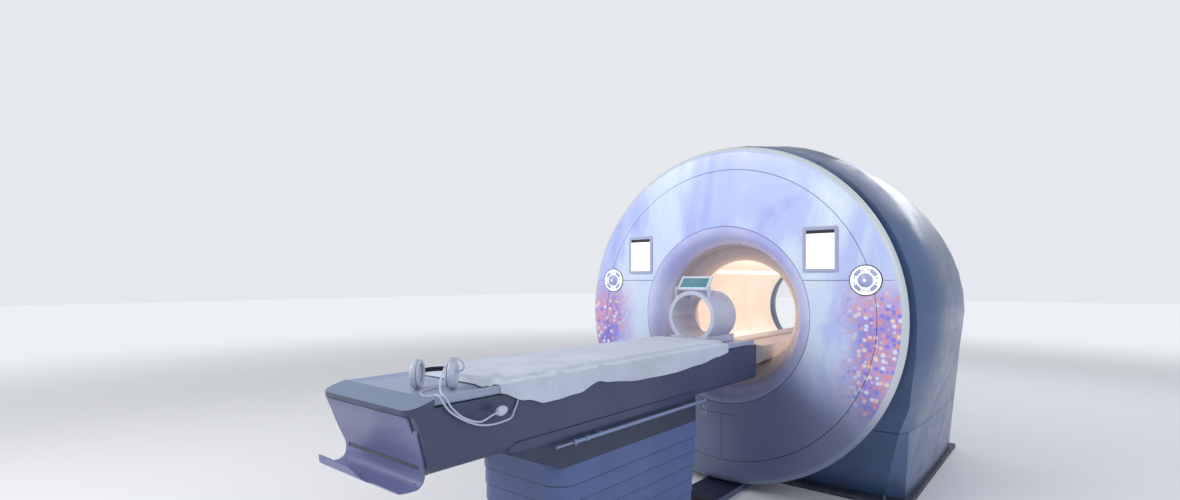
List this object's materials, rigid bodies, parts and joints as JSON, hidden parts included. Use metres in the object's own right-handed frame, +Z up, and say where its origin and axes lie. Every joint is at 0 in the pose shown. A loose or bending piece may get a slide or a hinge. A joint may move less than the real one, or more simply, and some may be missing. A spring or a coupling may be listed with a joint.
{
  "type": "mri scanner",
  "caption": "Cylindrical magnetic resonance scanner: round front cover with funnel, dials and displays, and a lifting patient table with a sliding top.",
  "frame": {"origin": "on the floor under the isocentre, on the underside of the floor plate", "axes": "+Y runs from the table into the bore, +Z is up, and +X is to the right of someone who faces the bore"},
  "size_m": [2.302, 4.426, 2.2205],
  "materials": {
    "cover_white": "satin",
    "housing_blue": "satin",
    "frame_dark": "matte",
    "bore_white": "satin",
    "lamp": "lit",
    "screen": "lit",
    "display_frame": "satin",
    "dial_white": "lit",
    "knob_grey": "satin",
    "vessel_steel": "satin",
    "coil_resin": "matte",
    "plate_dark": "matte",
    "skirt_blue": "satin",
    "hood_slate": "satin",
    "trough_slate": "satin",
    "tray_lavender": "satin",
    "lift_steel": "satin",
    "pole_metal": "brushed",
    "board_white": "satin",
    "mattress_grey": "matte",
    "sheet_cotton": "matte",
    "coil_white": "satin",
    "mirror_frame": "polished",
    "headset_white": "satin",
    "tube_white": "matte",
    "bulb_white": "matte",
    "step_black": "matte",
    "base_blue": "satin"
  },
  "bodies": {
    "gantry": {"floor_plate": "plate_dark", "magnet_vessel": "vessel_steel", "gradient_coil": "coil_resin", "bore_liner": "bore_white", "bore_lights": "lamp", "bore_bridge": "bore_white", "front_frame": "frame_dark", "front_rim": "cover_white", "front_cover_upper": "cover_white", "front_cover_lower": "cover_white", "front_funnel": "cover_white", "rear_cover": "housing_blue", "top_cover": "housing_blue", "side_cover_left": "housing_blue", "side_cover_right": "housing_blue", "lower_cover_left": "housing_blue", "lower_cover_right": "housing_blue", "display_left": "display_frame", "display_right": "display_frame", "screen_left": "screen", "screen_right": "screen", "dial_ring_left": "dial_white", "dial_ring_right": "dial_white", "table_base": "base_blue", "docking_step": "step_black", "lift_column": "lift_steel"},
    "table_lift_body": {"lift_mast": "lift_steel", "table_hood": "hood_slate", "table_trough": "trough_slate", "foot_tray": "tray_lavender", "pole_tube": "pole_metal", "skirt_1": "skirt_blue"},
    "table_top_body": {"tabletop": "board_white", "mattress": "mattress_grey", "bed_sheet": "sheet_cotton", "coil_base": "coil_white", "coil_top": "coil_white", "headset": "headset_white", "headset_tube": "tube_white", "call_bulb": "bulb_white", "bulb_tube": "tube_white"},
    "mirror_body": {"head_mirror": "mirror_frame"},
    "pole_rod_body": {"pole_rod": "pole_metal"},
    "lift_stage_body": {"lift_stage": "lift_steel"},
    "knob_left_body": {"knob_left": "knob_grey"},
    "knob_right_body": {"knob_right": "knob_grey"},
    "key_left_1_body": {"key_left_1": "knob_grey"},
    "key_left_2_body": {"key_left_2": "knob_grey"},
    "key_left_3_body": {"key_left_3": "knob_grey"},
    "key_left_4_body": {"key_left_4": "knob_grey"},
    "key_right_1_body": {"key_right_1": "knob_grey"},
    "key_right_2_body": {"key_right_2": "knob_grey"},
    "key_right_3_body": {"key_right_3": "knob_grey"},
    "key_right_4_body": {"key_right_4": "knob_grey"},
    "skirt_2_body": {"skirt_2": "skirt_blue"},
    "skirt_3_body": {"skirt_3": "skirt_blue"},
    "skirt_4_body": {"skirt_4": "skirt_blue"},
    "skirt_5_body": {"skirt_5": "skirt_blue"},
    "skirt_6_body": {"skirt_6": "skirt_blue"},
    "skirt_7_body": {"skirt_7": "skirt_blue"}
  },
  "joints": [
    {"name": "table_lift", "type": "slide", "parent": "gantry", "child": "table_lift_body", "axis": [0, 0, 1], "range_m": [-0.43, 0]},
    {"name": "table_top_slide", "type": "slide", "parent": "table_lift_body", "child": "table_top_body", "axis": [0, 1, 0], "range_m": [0, 1.9]},
    {"name": "mirror_tilt", "type": "hinge", "parent": "table_top_body", "child": "mirror_body", "pos_m": [0, -1.28, 1.2593], "axis": [1, 0, 0], "range_deg": [-45, 30]},
    {"name": "pole_extend", "type": "slide", "parent": "table_lift_body", "child": "pole_rod_body", "axis": [0, -1, 0], "range_m": [0, 0.5]},
    {"name": "lift_stage_slide", "type": "slide", "parent": "gantry", "child": "lift_stage_body", "axis": [0, 0, 1], "range_m": [-0.215, 0]},
    {"name": "skirt_2_slide", "type": "slide", "parent": "gantry", "child": "skirt_2_body", "axis": [0, 0, 1], "range_m": [-0.36859, 0]},
    {"name": "skirt_3_slide", "type": "slide", "parent": "gantry", "child": "skirt_3_body", "axis": [0, 0, 1], "range_m": [-0.30716, 0]},
    {"name": "skirt_4_slide", "type": "slide", "parent": "gantry", "child": "skirt_4_body", "axis": [0, 0, 1], "range_m": [-0.24573, 0]},
    {"name": "skirt_5_slide", "type": "slide", "parent": "gantry", "child": "skirt_5_body", "axis": [0, 0, 1], "range_m": [-0.18431, 0]},
    {"name": "skirt_6_slide", "type": "slide", "parent": "gantry", "child": "skirt_6_body", "axis": [0, 0, 1], "range_m": [-0.12288, 0]},
    {"name": "skirt_7_slide", "type": "slide", "parent": "gantry", "child": "skirt_7_body", "axis": [0, 0, 1], "range_m": [-0.06145, 0]},
    {"name": "knob_left_turn", "type": "hinge", "parent": "gantry", "child": "knob_left_body", "pos_m": [-0.849, -0.93, 1.306], "axis": [0, -1, 0], "continuous": true},
    {"name": "knob_right_turn", "type": "hinge", "parent": "gantry", "child": "knob_right_body", "pos_m": [0.849, -0.93, 1.306], "axis": [0, -1, 0], "continuous": true},
    {"name": "key_left_1_press", "type": "slide", "parent": "gantry", "child": "key_left_1_body", "axis": [0, 1, 0], "range_m": [0, 0.0015], "stiffness_N_per_m": 800, "springref_m": -0.001},
    {"name": "key_left_2_press", "type": "slide", "parent": "gantry", "child": "key_left_2_body", "axis": [0, 1, 0], "range_m": [0, 0.0015], "stiffness_N_per_m": 800, "springref_m": -0.001},
    {"name": "key_left_3_press", "type": "slide", "parent": "gantry", "child": "key_left_3_body", "axis": [0, 1, 0], "range_m": [0, 0.0015], "stiffness_N_per_m": 800, "springref_m": -0.001},
    {"name": "key_left_4_press", "type": "slide", "parent": "gantry", "child": "key_left_4_body", "axis": [0, 1, 0], "range_m": [0, 0.0015], "stiffness_N_per_m": 800, "springref_m": -0.001},
    {"name": "key_right_1_press", "type": "slide", "parent": "gantry", "child": "key_right_1_body", "axis": [0, 1, 0], "range_m": [0, 0.0015], "stiffness_N_per_m": 800, "springref_m": -0.001},
    {"name": "key_right_2_press", "type": "slide", "parent": "gantry", "child": "key_right_2_body", "axis": [0, 1, 0], "range_m": [0, 0.0015], "stiffness_N_per_m": 800, "springref_m": -0.001},
    {"name": "key_right_3_press", "type": "slide", "parent": "gantry", "child": "key_right_3_body", "axis": [0, 1, 0], "range_m": [0, 0.0015], "stiffness_N_per_m": 800, "springref_m": -0.001},
    {"name": "key_right_4_press", "type": "slide", "parent": "gantry", "child": "key_right_4_body", "axis": [0, 1, 0], "range_m": [0, 0.0015], "stiffness_N_per_m": 800, "springref_m": -0.001}
  ],
  "couplings": [
    {"joint": "lift_stage_slide", "follows": "table_lift", "ratio": 0.5},
    {"joint": "skirt_2_slide", "follows": "table_lift", "ratio": 0.85714},
    {"joint": "skirt_3_slide", "follows": "table_lift", "ratio": 0.71429},
    {"joint": "skirt_4_slide", "follows": "table_lift", "ratio": 0.57143},
    {"joint": "skirt_5_slide", "follows": "table_lift", "ratio": 0.42857},
    {"joint": "skirt_6_slide", "follows": "table_lift", "ratio": 0.28571},
    {"joint": "skirt_7_slide", "follows": "table_lift", "ratio": 0.14286}
  ]
}
